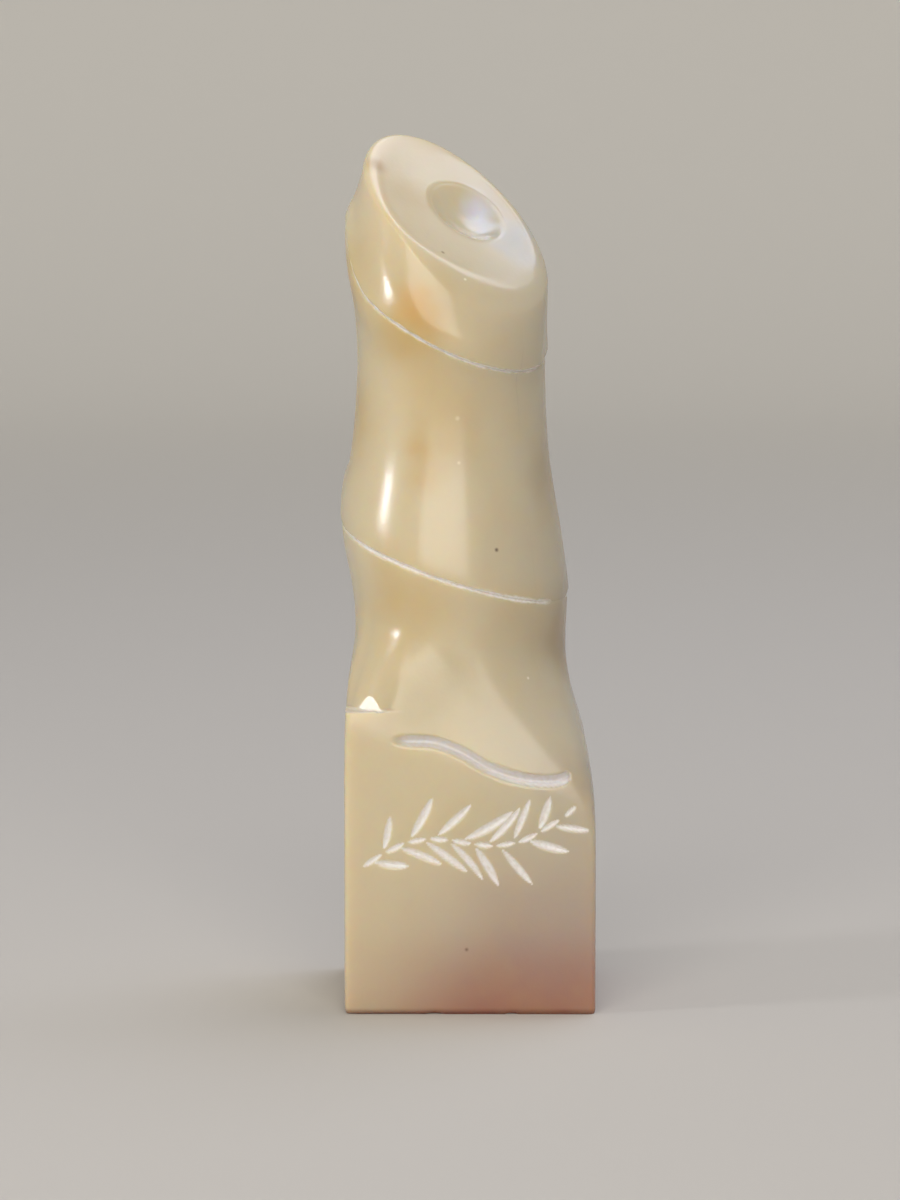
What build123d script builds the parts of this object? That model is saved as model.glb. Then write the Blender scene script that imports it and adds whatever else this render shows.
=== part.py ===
"""A name seal carved from one stone as a length of bamboo on a square block.

The stone stands on its printing face, in the plane Z = 0, with the origin in
the middle of that face. X runs to the right, Y away from the side that carries
the groove at the foot of the culm, and Z up.
"""

import os
from math import hypot, radians, tan

from build123d import *

# Square block
base_width = 20.0
base_depth = 20.0
block_height = 21.0
block_fall_angle = 18.3
edge_easing = 0.6

# Shoulder, where the square corners run out into the culm
shoulder_rise = 10.0
foot_left = 9.3
foot_right = 7.8
foot_depth = 16.6
foot_fall_angle = 16.0
foot_dip_angle = 4.0

# Lower node
lower_node_rise = 4.6
lower_node_left = 10.45
lower_node_right = 7.9
lower_node_fall_angle = 17.5
lower_node_dip_angle = 8.0

# Waist between the nodes
waist_rise = 14.9
waist_left = 9.05
waist_right = 6.0
waist_fall_angle = 18.5
waist_dip_angle = 13.0

# Upper node
upper_node_rise = 5.2
upper_node_left = 9.85
upper_node_right = 6.1
upper_node_fall_angle = 24.5
upper_node_dip_angle = 21.0

# Collar above the upper node
collar_rise = 3.5
collar_left = 10.0
collar_right = 6.25
collar_fall_angle = 22.0
collar_dip_angle = 24.0

# Throat, where the culm draws in again
throat_rise = 1.7
throat_left = 9.0
throat_right = 6.3
throat_fall_angle = 27.0
throat_dip_angle = 29.5

# Mouth, where the culm is cut off at a slant
mouth_rise = 2.4
mouth_left = 8.6
mouth_right = 6.3
mouth_fall_angle = 31.7
mouth_dip_angle = 34.6
rim_easing = 1.1

# Hollow scooped into the cut
hollow_width = 6.9
hollow_depth = 0.95
hollow_up_slope = 1.3
hollow_across = 1.9

# Thin line cut round each node
node_line_width = 0.5
node_line_depth = 0.28

# Wide groove at the foot of the culm, on the front
foot_line_width = 0.9
foot_line_depth = 0.35
foot_line_rise = 0.85
foot_line_drop = 3.2
foot_line_width_shares = [-0.594, -0.318, -0.096, 0.156, 0.393, 0.631, 0.789]
foot_line_drop_shares = [0.0, 0.0, 0.23, 0.68, 0.92, 1.0, 0.87]

# Printing face: a raised border round a leafy bamboo stem, on a cut-away ground
border_width = 1.1
relief_depth = 0.8
stem_width = 1.2
stem_gap = 0.5
leaf_width = 1.9

overrun = 1.0

# Rings between the top of the block and the foot: share of the rise, shares of the
# way from the block's left, right and depth to the foot's, and how round the corners are
shoulder_shares = [
    (0.07, 0.12, 0.10, 0.03, 0.11),
    (0.17, 0.30, 0.19, 0.16, 0.32),
    (0.34, 0.65, 0.37, 0.42, 0.54),
    (0.58, 0.98, 0.69, 0.73, 0.76),
    (0.82, 1.02, 0.94, 0.94, 0.93),
]

# Rings between the lower node and the waist: share of the rise, and of the way on the
# left and on the right
internode_shares = [(0.26, 0.32, 0.21), (0.60, 0.83, 0.64)]

# Rounding of the rim, up from the side to the cut: share down and share in
rim_shares = [(1.0, 0.0), (0.55, 0.11), (0.24, 0.35), (0.06, 0.66), (0.0, 1.0)]

# Joints of the printed stem, across and up as shares of half the field
stem_shares = [(-0.42, -1.1), (-0.16, -0.36), (0.07, 0.30), (0.40, 1.1)]

# Leaves of the printed stem: where each grows, which way it points, how long
leaf_shares = [
    (-0.26, -0.68, -8, 0.85),
    (-0.18, -0.42, 198, 0.66),
    (-0.10, -0.26, 10, 0.92),
    (0.04, 0.22, 162, 0.82),
    (0.10, 0.36, -14, 0.74),
    (0.21, 0.62, 22, 0.62),
]


def between(start, end, share):
    """A value a share of the way from start to end."""
    return start + (end - start) * share


def slanted_plane(height, left, right, fall, dip=0.0):
    """Plane through the culm that drops to the right by fall and to the front by dip.

    Its x axis runs straight down the slope.
    """
    drop_right = tan(radians(fall))
    drop_front = tan(radians(dip))
    slope = hypot(drop_right, drop_front)
    return Plane(
        origin=((right - left) / 2, 0, height),
        x_dir=(drop_right / slope, -drop_front / slope, -slope),
        z_dir=(drop_right, -drop_front, 1),
    )


def slope_stretch(fall, dip=0.0):
    """How much longer a slanted outline is, down the slope, than seen from above."""
    return hypot(1, tan(radians(fall)), tan(radians(dip)))


def square_ring(height, left, right, depth, fall, round_share):
    """Outline of the shoulder: a square with rounded corners."""
    width = (left + right) * slope_stretch(fall)
    with BuildSketch(slanted_plane(height, left, right, fall)) as outline:
        RectangleRounded(width, depth, round_share * min(width, depth) / 2)
    return outline.sketch


def round_ring(height, left, right, fall, dip, inset=0.0):
    """Outline of the culm: round when seen from above."""
    radius = (left + right) / 2
    with BuildSketch(slanted_plane(height, left, right, fall, dip)) as outline:
        Ellipse(radius * slope_stretch(fall, dip) - inset, radius - inset)
    return outline.sketch


foot_height = block_height + shoulder_rise
lower_node_height = foot_height + lower_node_rise
waist_height = lower_node_height + waist_rise
upper_node_height = waist_height + upper_node_rise
collar_height = upper_node_height + collar_rise
throat_height = collar_height + throat_rise
mouth_height = throat_height + mouth_rise

shoulder_rings = [
    square_ring(
        between(block_height, foot_height, rise_share),
        between(base_width / 2, foot_left, left_share),
        between(base_width / 2, foot_right, right_share),
        between(base_depth, foot_depth, depth_share),
        between(block_fall_angle, foot_fall_angle, rise_share),
        round_share,
    )
    for rise_share, left_share, right_share, depth_share, round_share in shoulder_shares
]

internode_rings = [
    round_ring(
        between(lower_node_height, waist_height, rise_share),
        between(lower_node_left, waist_left, left_share),
        between(lower_node_right, waist_right, right_share),
        between(lower_node_fall_angle, waist_fall_angle, rise_share),
        between(lower_node_dip_angle, waist_dip_angle, rise_share),
    )
    for rise_share, left_share, right_share in internode_shares
]

foot = (foot_height, foot_left, foot_right, foot_fall_angle, foot_dip_angle)
lower_node = (
    lower_node_height,
    lower_node_left,
    lower_node_right,
    lower_node_fall_angle,
    lower_node_dip_angle,
)
waist = (waist_height, waist_left, waist_right, waist_fall_angle, waist_dip_angle)
upper_node = (
    upper_node_height,
    upper_node_left,
    upper_node_right,
    upper_node_fall_angle,
    upper_node_dip_angle,
)
collar = (collar_height, collar_left, collar_right, collar_fall_angle, collar_dip_angle)
throat = (throat_height, throat_left, throat_right, throat_fall_angle, throat_dip_angle)
mouth = (mouth_left, mouth_right, mouth_fall_angle, mouth_dip_angle)

rim_rings = [
    round_ring(mouth_height - down_share * rim_easing, *mouth, inset=in_share * rim_easing)
    for down_share, in_share in rim_shares
]

block_top = slanted_plane(block_height, base_width / 2, base_width / 2, block_fall_angle)
cut_plane = slanted_plane(mouth_height, *mouth)


def node_line(height, left, right, fall, dip):
    """The V-shaped ring of stone that is cut away round a node."""
    plane = slanted_plane(height, left, right, fall, dip)
    radius = (left + right) / 2
    stretch = slope_stretch(fall, dip)
    inner = round_ring(height, left, right, fall, dip, inset=node_line_depth)
    with BuildPart() as cutter:
        with BuildSketch(plane):
            Ellipse(radius * stretch + overrun, radius + overrun)
        extrude(amount=node_line_width, both=True)
        for side in (-1, 1):
            with BuildSketch(plane.offset(2 * side * node_line_width)) as outer:
                Ellipse(radius * stretch + 3 * node_line_depth, radius + 3 * node_line_depth)
            loft(sections=[inner, outer.sketch], ruled=True, mode=Mode.SUBTRACT)
    return cutter.part


with BuildPart() as seal_stone:
    # Block, sawn square and cut off at the slant that the culm stands on
    with BuildSketch():
        RectangleRounded(base_width, base_depth, edge_easing)
    extrude(amount=block_height + base_width)
    split(bisect_by=block_top, keep=Keep.BOTTOM)
    block_top_face = seal_stone.faces().sort_by(Axis.Z)[-1]

    # Shoulder, culm and the eased rim of its slanted cut, one skin through their rings
    loft(
        sections=[
            block_top_face,
            *shoulder_rings,
            round_ring(*foot),
            round_ring(*lower_node),
            *internode_rings,
            round_ring(*waist),
            round_ring(*upper_node),
            round_ring(*collar),
            round_ring(*throat),
            *rim_rings,
        ]
    )

    # Hollow, a ball-shaped scoop up the slope from the middle of the cut
    hollow_radius = (hollow_width**2 / 4 + hollow_depth**2) / (2 * hollow_depth)
    with Locations(cut_plane.offset(hollow_radius - hollow_depth)):
        with Locations((-hollow_up_slope, hollow_across)):
            Sphere(hollow_radius, mode=Mode.SUBTRACT)

    # Line round each node
    add(node_line(*lower_node), mode=Mode.SUBTRACT)
    add(node_line(*upper_node), mode=Mode.SUBTRACT)

    # Groove at the foot of the culm, an S that falls to the right
    front = Plane.XZ.offset(base_depth / 2 + overrun)
    foot_line_top = block_height + foot_line_rise
    with BuildSketch(front) as foot_line:
        with BuildLine():
            Spline(
                *[
                    (x_share * base_width / 2, foot_line_top - z_share * foot_line_drop)
                    for x_share, z_share in zip(foot_line_width_shares, foot_line_drop_shares)
                ]
            )
        trace(line_width=foot_line_width)
    extrude(amount=-(overrun + foot_line_depth), mode=Mode.SUBTRACT)

    # Printing face, with the ground cut away round the border and the leafy stem
    half_width = base_width / 2 - border_width
    half_depth = base_depth / 2 - border_width
    joints = [Vector(x_share * half_width, y_share * half_depth) for x_share, y_share in stem_shares]
    with BuildSketch():
        RectangleRounded(2 * half_width, 2 * half_depth, edge_easing)
        for lower, upper in zip(joints, joints[1:]):
            run = upper - lower
            with Locations(Location((lower + upper) / 2, run.get_angle(Vector(1, 0, 0)))):
                Rectangle(run.length - stem_gap, stem_width, mode=Mode.SUBTRACT)
        for x_share, y_share, heading, length_share in leaf_shares:
            root = Vector(x_share * half_width, y_share * half_depth)
            tip = root + Vector(length_share * half_width, 0).rotate(Axis.Z, heading)
            with BuildLine():
                SagittaArc(root, tip, leaf_width / 2)
                SagittaArc(tip, root, leaf_width / 2)
            make_face(mode=Mode.SUBTRACT)
    extrude(amount=relief_depth, mode=Mode.SUBTRACT)

seal_stone.part.label = "seal_stone"

os.makedirs("parts", exist_ok=True)
export_step(seal_stone.part, "parts/seal_stone.step")
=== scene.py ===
import math

import bmesh
import bpy
import numpy as np
from mathutils import Matrix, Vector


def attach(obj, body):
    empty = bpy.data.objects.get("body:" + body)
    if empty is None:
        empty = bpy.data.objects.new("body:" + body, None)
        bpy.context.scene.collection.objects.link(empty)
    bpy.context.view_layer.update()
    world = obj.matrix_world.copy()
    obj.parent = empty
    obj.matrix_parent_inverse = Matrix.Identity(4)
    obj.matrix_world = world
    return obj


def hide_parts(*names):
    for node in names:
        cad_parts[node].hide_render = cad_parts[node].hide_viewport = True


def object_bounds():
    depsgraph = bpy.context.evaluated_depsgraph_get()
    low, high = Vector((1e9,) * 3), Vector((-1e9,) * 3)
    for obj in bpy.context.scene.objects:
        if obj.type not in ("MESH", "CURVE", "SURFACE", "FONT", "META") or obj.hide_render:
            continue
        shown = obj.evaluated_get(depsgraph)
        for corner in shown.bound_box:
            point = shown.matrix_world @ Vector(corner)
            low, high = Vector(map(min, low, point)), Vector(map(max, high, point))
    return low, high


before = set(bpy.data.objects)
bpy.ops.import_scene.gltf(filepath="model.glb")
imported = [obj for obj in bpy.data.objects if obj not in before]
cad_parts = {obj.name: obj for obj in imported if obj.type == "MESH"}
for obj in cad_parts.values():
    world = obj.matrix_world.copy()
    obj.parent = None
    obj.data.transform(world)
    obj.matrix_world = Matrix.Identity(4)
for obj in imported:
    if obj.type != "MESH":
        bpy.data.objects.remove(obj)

# A name seal carved from one piece of soapstone: a square block that runs out into
# a length of bamboo with two slanting nodes, cut off at a slant and hollowed there.
# Lengths in the dictionaries are in mm, and X runs right, Y back and Z up.

cadBox = [list(corner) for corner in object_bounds()]
mm = 0.001

roundedBox = [[round(value / mm, 2) for value in corner] for corner in cadBox]
print("seal: frame loaded, CAD box", roundedBox)


def linearColour(hexCode):
    # sRGB hex to linear: the low end divided by 12.92, the rest raised to the power 2.4
    channels = [int(hexCode[place:place + 2], 16) / 255 for place in (1, 3, 5)]
    linear = [value / 12.92 if value <= 0.04045 else ((value + 0.055) / 1.055) ** 2.4 for value in channels]
    return linear + [1.0]


def softRun(table, at, soften=0.8):
    # A smooth run through the table's points: cubic pieces whose slope at a point is the
    # harmonic mean of the slopes beside it, averaged with a bell curve soften mm wide
    places, values = np.array(table, float).T
    secants = np.diff(values) / np.diff(places)
    before, after = secants[:-1], secants[1:]
    sameWay = before * after > 0
    inner = np.where(sameWay, 2 * before * after / np.where(sameWay, before + after, 1), 0)
    slopes = np.concatenate([secants[:1], inner, secants[-1:]])
    fine = np.arange(places[0], places[-1] + 0.05, 0.1)
    index = np.clip(np.searchsorted(places, fine) - 1, 0, len(places) - 2)
    step = places[index + 1] - places[index]
    share = np.clip((fine - places[index]) / step, 0, 1)
    run = (
        (1 + 2 * share) * (1 - share) ** 2 * values[index]
        + share * (1 - share) ** 2 * step * slopes[index]
        + share**2 * (3 - 2 * share) * values[index + 1]
        + share**2 * (share - 1) * step * slopes[index + 1]
    )
    reach = np.arange(-3 * soften, 3 * soften + 0.05, 0.1)
    bell = np.exp(-((reach / soften) ** 2))
    margin = len(reach) // 2
    smooth = np.convolve(np.pad(run, margin, mode="edge"), bell / bell.sum(), mode="same")
    return np.interp(at, fine, smooth[margin:][:len(fine)])


def bump(distance, width):
    # 1 in the middle, falling to 0 at width to either side, flat at both
    share = np.clip(1 - np.abs(distance) / width, 0, 1)
    return share * share * (3 - 2 * share)


def rise(value, start, end):
    # 0 up to start, 1 from end on, an S between them
    share = np.clip((value - start) / (end - start), 0, 1)
    return share * share * (3 - 2 * share)


def handWaves(along, girth, seed, waves=9, longest=14.0):
    # The slight unevenness of hand carving: a sum of sine waves with random lengths,
    # directions and phases, none finer than a quarter of the longest
    rng = np.random.default_rng(seed)
    total = np.zeros(np.broadcast(along, girth).shape)
    for _ in range(waves):
        length = longest * rng.uniform(0.25, 1)
        turn, phase = rng.uniform(0, 2 * math.pi, 2)
        swing = 2 * math.pi / length * (along * math.cos(turn) + girth * math.sin(turn)) + phase
        total += length / longest * np.sin(swing)
    return total / math.sqrt(waves)


# The stone's skin

stone = {
    # How far the outline stands left and right of the origin, seen from the front: height, width
    "leftOutline": [
        (0, 10.0), (18, 10.0), (22, 9.96), (23.7, 9.9), (25, 9.86), (26.3, 9.74), (27.7, 9.5), (29.1, 9.27),
        (30.6, 9.22), (32.2, 9.32), (33.7, 9.55), (35.3, 9.87), (36.9, 10.18), (38.5, 10.36), (40.1, 10.36),
        (41.7, 10.1), (43.3, 9.74), (45, 9.48), (48.3, 9.17), (51.5, 9.04), (54, 9.12), (56.3, 9.33),
        (58.5, 9.7), (61.1, 10.03), (62.4, 10.0), (63.0, 9.8), (63.8, 9.45), (64.6, 9.15), (65.4, 8.87),
        (66.2, 8.68), (67.0, 8.55), (72, 8.5),
    ],
    "rightOutline": [
        (0, 10.0), (14, 9.98), (17.5, 9.86), (19, 9.7), (20.6, 9.46), (22.2, 9.1), (23.7, 8.62), (24.8, 8.32),
        (26.2, 8.0), (27.7, 7.78), (29.2, 7.73), (30.7, 7.8), (32.5, 7.86), (34.5, 7.76), (36.5, 7.54),
        (38.6, 7.25), (40.2, 6.96), (44.2, 6.39), (48.3, 6.10), (51.5, 6.01), (54, 6.1), (57, 6.27), (70, 6.3),
    ],
    # Rings up the stone: height on the axis, drop per mm to the right, drop per mm to the front
    "rings": [
        (0, 0, 0), (21.0, 0.33, 0), (22.7, 0.318, 0.012), (24.4, 0.308, 0.025), (26.8, 0.298, 0.04),
        (31.0, 0.287, 0.07), (35.56, 0.315, 0.143), (39.5, 0.31, 0.15), (44.5, 0.306, 0.165),
        (50.5, 0.34, 0.24), (55.7, 0.459, 0.384), (59.0, 0.50, 0.50), (63.3, 0.617, 0.689),
    ],
    # Half of the depth from front to back
    "depths": [
        (0, 10.0), (17.5, 10.0), (19.5, 9.92), (22, 9.55), (24.5, 9.12), (27, 8.84), (29, 8.7), (31, 8.66),
        (33, 8.8), (35.56, 9.1), (39.5, 8.7), (44.5, 7.9), (50.5, 7.6), (54, 7.85), (56.6, 8.5), (58.2, 8.7),
        (59.8, 8.45), (61.3, 7.95), (63.3, 7.45),
    ],
    # How round the outline is, from 0, a square, to 1, an ellipse: the corners on the left
    # turn round at a small level ledge, and the others slowly
    "rounds": [
        (0, 0.06), (17.5, 0.06), (20, 0.1), (22, 0.24), (24.4, 0.48), (26.8, 0.74), (28.8, 0.92), (30.2, 1), (70, 1),
    ],
    "ledgeRounds": [
        (0, 0.06), (24.1, 0.06), (24.35, 0.44), (26.8, 0.62), (29.2, 0.84), (30.6, 0.97), (31.4, 1), (80, 1),
    ],
    "ledgeTop": 24.2,
    # Knife cut at the front of the ledge, pale, and painted over the shelf's shade: middle and reach in degrees,
    # width, share
    "ledgeCutOverShade": (226, 17, 0.16, 0.8),
    # Where the ledge starts, is full, eases and ends at the front left corner, and its
    # middle and reach at the back one, in degrees round the stone from the right by the back
    "frontLedge": (206, 214, 233, 243),
    "backLedge": (136, 24),
    # Over how many mm the rings, the depths and roundness, and the ledge are smoothed
    "softRings": 1.2,
    "softSkin": 0.9,
    "softLedge": 0.13,
    "lowerNode": 35.56,
    "upperNode": 55.7,
    "mouth": 63.3,
    # How much higher than its slanting plane each node's ring runs, with the share of that
    # by degrees round the stone; rings lift with it as far as nodeReach above and below
    "nodeLift": 3.3,
    "nodeReach": 6.2,
    "upperLiftShares": [
        (0, 0), (60, 0.25), (100, 0.5), (140, 0.85), (165, 1), (180, 1), (195, 0.55), (206, 0.22), (218, 0.03),
        (230, 0), (360, 0),
    ],
    "lowerLiftShares": [
        (0, 0), (60, 0.25), (100, 0.55), (140, 0.95), (158, 1), (165, 0.85), (172, 0.5), (180, 0.15), (190, 0.03),
        (200, 0), (360, 0),
    ],
    "leftLiftShares": (1, 0.15),  # at the left, where the outline is read: upper, lower node
    "meanRadius": 8.3,  # of the culm, turns an angle into mm round it
    "waves": 0.045,  # unevenness of the carved culm
    # Rows up the stone, closest where something is carved: single heights at the foot,
    # stretches of lowest, highest and how many, and offsets at each node
    "footRows": [0, 0.06, 0.16, 0.32, 0.6],
    "blockRows": [(1.1, 9.3, 9), (9.42, 18.5, 76), (18.64, 20.8, 14), (20.88, 21.26, 6), (21.34, 23.2, 23)],
    "nodeRows": [0.05, 0.11, 0.17, 0.24, 0.34, 0.5, 0.75],
    "shoulderRows": 23,
    "culmRows": 24,
    "collarRows": 12,
    "shoulderFoot": 23.6,
    "nodeClearance": (1.15, 1.3, 1.2),  # of these rows: under, between and over the nodes
    # Columns across the front and across each other side
    "frontColumns": 216,
    "sideColumns": 36,
    "sharpAngle": 48,  # edges at least this sharp are not smoothed over
    "crowding": (0.15, 0.85),  # how far a side's columns are even, and crowd to its corners
}

nodeLine = {
    "width": 0.5,
    "depth": 0.24,
    "lowerLip": 0.12,  # how far the stone above each line stands out
    "upperLip": 0.2,
    "lipReach": 2.4,
    "wander": 0.25,  # how much the width varies slowly, and by nicks
    "nicks": 0.22,
    # Degrees between which each line fades out at the front right, and comes back at the side
    "lowerFade": (318, 330),
    "upperFade": (338, 352),
    "return": (352, 359.5),
}

# A flat facet that the knife left on the front left corner, just above the ledge
facet = {
    "normal": (-0.575, -0.776, 0.256),
    "foot": 24.1,
    "height": 3,
    "corner": (-5, -5, 20.5),  # it lies left of, in front of and above these
    # Its plane runs depth under what stands out furthest between these heights over its foot
    "ridge": (0.35, 0.5),
    "depth": 0.17,
    # How much paler the facet is, partly knife powder and partly a painted highlight
    "whiterPowderAndGlint": 0.12,
}

# The bottom edge is eased, and chipped here and there
bottomEdge = {
    "height": 0.5,
    "easing": 0.14,
    "chips": 0.22,
    "chipWidth": 5.0,
    "chipRarity": 0.55,
    "chipRise": 0.8,
    "frontChip": (-2.9, 0.9, 0.13),  # across, reach, depth
}

# The rim is crisp at the front left and widest at the front, and the cut is slightly dished
rim = {
    "easing": 1.15,
    "crisper": 0.7,
    "crispPlace": (226, 42),  # middle and reach in degrees
    "wider": 0.95,
    "widePlace": (290, 58),
    "rows": 10,
    "cutRows": 10,
    "dish": 0.28,
}

hollow = {
    "radius": 3.3,
    "depth": 0.95,
    "upSlope": 0.4,  # of the mouth's centre
    "across": 1.6,  # towards the back
    "lean": 0.45,  # how much steeper the wall is on the low side
    "lip": 0.05,
    # Rows from just outside its edge to near its middle, as shares of the radius
    "rows": [1.05, 1.02, 1.0, 0.98, 0.95, 0.9, 0.83, 0.75, 0.66, 0.56, 0.45, 0.34, 0.23, 0.12],
}


def columnAngles():
    # Even steps across the flat front, where the carving is, and steps that crowd to the
    # corners on the other sides; each side is a quarter turn, and the front is the last
    quarter = math.pi / 2
    front = np.linspace(-1, 1, stone["frontColumns"] + 1)[:-1]
    even = np.linspace(-1, 1, stone["sideColumns"] + 1)[:-1]
    crowded = np.sin(np.linspace(-quarter, quarter, stone["sideColumns"] + 1))[:-1]
    evenShare, crowdedShare = stone["crowding"]
    side = evenShare * even + crowdedShare * crowded
    return np.concatenate([quarter * turn + np.arctan(front if turn == 3 else side) for turn in range(4)])


def rowHeights():
    above = np.array(stone["nodeRows"])
    node = np.concatenate([-above[::-1], [0], above])
    low, high = stone["lowerNode"], stone["upperNode"]
    under, between, over = stone["nodeClearance"]
    return np.concatenate([
        stone["footRows"],
        *[np.linspace(*stretch) for stretch in stone["blockRows"]],
        np.linspace(stone["shoulderFoot"], low - under, stone["shoulderRows"]),
        low + node,
        np.linspace(low + between, high - between, stone["culmRows"]),
        high + node,
        np.linspace(high + over, stone["mouth"] - rim["easing"] - rim["wider"], stone["collarRows"]),
    ])


def outlineReach(angle, halfWidth, depth, roundShare):
    # How far a superellipse reaches at an angle: its power follows from how round its corners are
    power = math.log(2) / -np.log(1 - roundShare * (1 - math.sqrt(0.5)))
    across, back = np.abs(np.cos(angle)) / halfWidth, np.abs(np.sin(angle)) / depth
    return (across**power + back**power) ** (-1 / power)


def skinPoint(height, angle):
    # The ring at a height is a superellipse seen from above, whose left and right ends lie
    # on the two outlines; it is tilted to the ring's drops and lifted by the node's share
    heights, falls, dips = np.array(stone["rings"]).T
    fall = softRun(list(zip(heights, falls)), height, stone["softRings"])
    dip = softRun(list(zip(heights, dips)), height, stone["softRings"])
    depth = softRun(stone["depths"], height, stone["softSkin"])
    slow = softRun(stone["rounds"], height, stone["softSkin"])
    degrees = np.degrees(angle) % 360
    start, full, easing, end = stone["frontLedge"]
    backMiddle, backReach = stone["backLedge"]
    ledge = rise(degrees, start, full) * (1 - rise(degrees, easing, end)) + bump(degrees - backMiddle, backReach)

    upper = bump(height - stone["upperNode"], stone["nodeReach"])
    lower = bump(height - stone["lowerNode"], stone["nodeReach"])
    lift = stone["nodeLift"] * (
        np.interp(degrees, *np.array(stone["upperLiftShares"]).T) * upper
        + np.interp(degrees, *np.array(stone["lowerLiftShares"]).T) * lower
    )
    upperShare, lowerShare = stone["leftLiftShares"]
    leftLift = stone["nodeLift"] * (upperShare * upper + lowerShare * lower)

    # A ring's ends lie at heights that follow from its width, so both are found by turns
    halfWidth = np.full(np.shape(height), 9.0)
    for _ in range(12):
        left = softRun(stone["leftOutline"], height + fall * halfWidth + leftLift)
        right = softRun(stone["rightOutline"], height - fall * halfWidth)
        halfWidth = (left + right) / 2
    centre = (right - left) / 2
    reach = outlineReach(angle, halfWidth, depth, slow)
    # The ledge is level, so its place goes by the height of the skin there and not of the ring
    level = height - fall * reach * np.cos(angle) + dip * reach * np.sin(angle)
    quick = softRun(stone["ledgeRounds"], level, stone["softLedge"])
    reach = outlineReach(angle, halfWidth, depth, slow + (quick - slow) * ledge)
    x = centre + reach * np.cos(angle)
    y = reach * np.sin(angle)
    return np.stack([x, y, height - fall * (x - centre) + dip * y + lift], axis=-1), centre


def knifeStrokes(x, z, strokes):
    # Each stroke is a V that bows sideways by bend. Its half width is greatest in the middle,
    # and falls off with a power of the way from there; the deepest stroke at a point counts
    startX, startZ, endX, endZ, width, bend = (column[:, None] for column in np.array(strokes).T)
    runX, runZ = endX - startX, endZ - startZ
    length = np.hypot(runX, runZ)
    along = ((x - startX) * runX + (z - startZ) * runZ) / length**2
    across = ((z - startZ) * runX - (x - startX) * runZ) / length - 4 * bend * length * along * (1 - along)
    half = width / 2 * np.clip(1 - np.abs(2.1 * along - 1.05) ** 2.4, 0, 1) ** 0.8
    share = np.where(half > 0.02, np.clip(1 - np.abs(across) / np.maximum(half, 0.02), 0, 1), 0)
    return (share * half).max(axis=0), np.clip(2.5 * share, 0, 1).max(axis=0)


# A leafy twig cut with the knife across the front, and the groove at the foot of the culm

carving = {
    "start": (-8.5, 11.9),
    "end": (7.3, 15.8),
    "bow": 1.1,
    "joints": 9,
    "jointGap": 0.012,  # as a share of the twig
    "twigWidth": 0.42,
    "leaves": 15,
    "leafLength": 4.3,
    "leafWidth": 0.68,
    "leafAngle": 46,
    "leafGap": 0.3,  # between the twig and a leaf
    "tip": (0.15, 0.05, 1.1, 0.9),  # last stroke, from and to, off the twig's end
    "depthShare": 0.75,
    "rows": (8, 27),  # rows of the front that the twig and the groove can touch
    "seed": 4,
}

footGroove = {
    "line": [
        (-6.3, 21.9), (-5.3, 21.92), (-3.18, 21.85), (-0.96, 21.13), (1.56, 19.69), (3.93, 18.90), (6.31, 18.66),
        (7.3, 18.8), (8.2, 19.2),
    ],
    "soft": 0.6,
    "width": 1.05,
    "depth": 0.36,
    "start": (-6.6, -4.6),  # where it widens and deepens at the left, and narrows at the right
    "end": (7.5, 8.1),
    "thin": 0.45,  # share of its width and of its depth at its very ends
    "shallow": 0.3,
    # Its lower wall is powdery and bears a painted highlight from the middle on: where that starts
    # and is full, how far below the line and how wide it is in half widths, and how pale
    "powderAndHighlightStart": (-3.0, 4.0),
    "powderAndHighlightEnd": (7.3, 8.1),
    "powderAndHighlightBand": (0.6, 0.38),
    "powder": 0.85,
}


def twigStrokes():
    # The twig runs from start to end in an S, sin of a whole turn; it is cut joint by joint,
    # and leaves grow from it by turns above and below, longest at the middle
    rng = np.random.default_rng(carving["seed"])
    (startX, startZ), (endX, endZ) = carving["start"], carving["end"]

    def onTwig(share):
        bow = carving["bow"] * np.sin(2 * math.pi * share)
        return startX + (endX - startX) * share, startZ + (endZ - startZ) * share + bow

    strokes = []
    joints = np.linspace(0, 1, carving["joints"] + 1)
    for first, last in zip(joints[:-1], joints[1:]):
        (x0, z0), (x1, z1) = onTwig(first), onTwig(last - carving["jointGap"])
        strokes.append((x0, z0, x1, z1, carving["twigWidth"] * rng.uniform(0.85, 1.15), rng.uniform(-0.02, 0.02)))
    for leaf in range(carving["leaves"]):
        share = (leaf + 0.55) / carving["leaves"] * 0.97
        x0, z0 = onTwig(share)
        x1, z1 = onTwig(share + 0.02)
        side = 1 if leaf % 2 else -1
        heading = math.atan2(z1 - z0, x1 - x0) + side * math.radians(carving["leafAngle"] + rng.uniform(-9, 9))
        length = carving["leafLength"] * (0.62 + 0.38 * math.sin(math.pi * share)) * rng.uniform(0.85, 1.1)
        x0, z0 = x0 + carving["leafGap"] * math.cos(heading), z0 + carving["leafGap"] * math.sin(heading)
        strokes.append((x0, z0, x0 + length * math.cos(heading), z0 + length * math.sin(heading),
                        carving["leafWidth"] * rng.uniform(0.8, 1.15), side * rng.uniform(-0.05, 0.01)))
    x0, z0 = onTwig(1)
    fromX, fromZ, toX, toZ = carving["tip"]
    strokes.append((x0 + fromX, z0 + fromZ, x0 + toX, z0 + toZ, carving["twigWidth"], 0.03))
    return strokes


# The printing face: a raised border round a leafy stem, the ground between cut away

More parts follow.
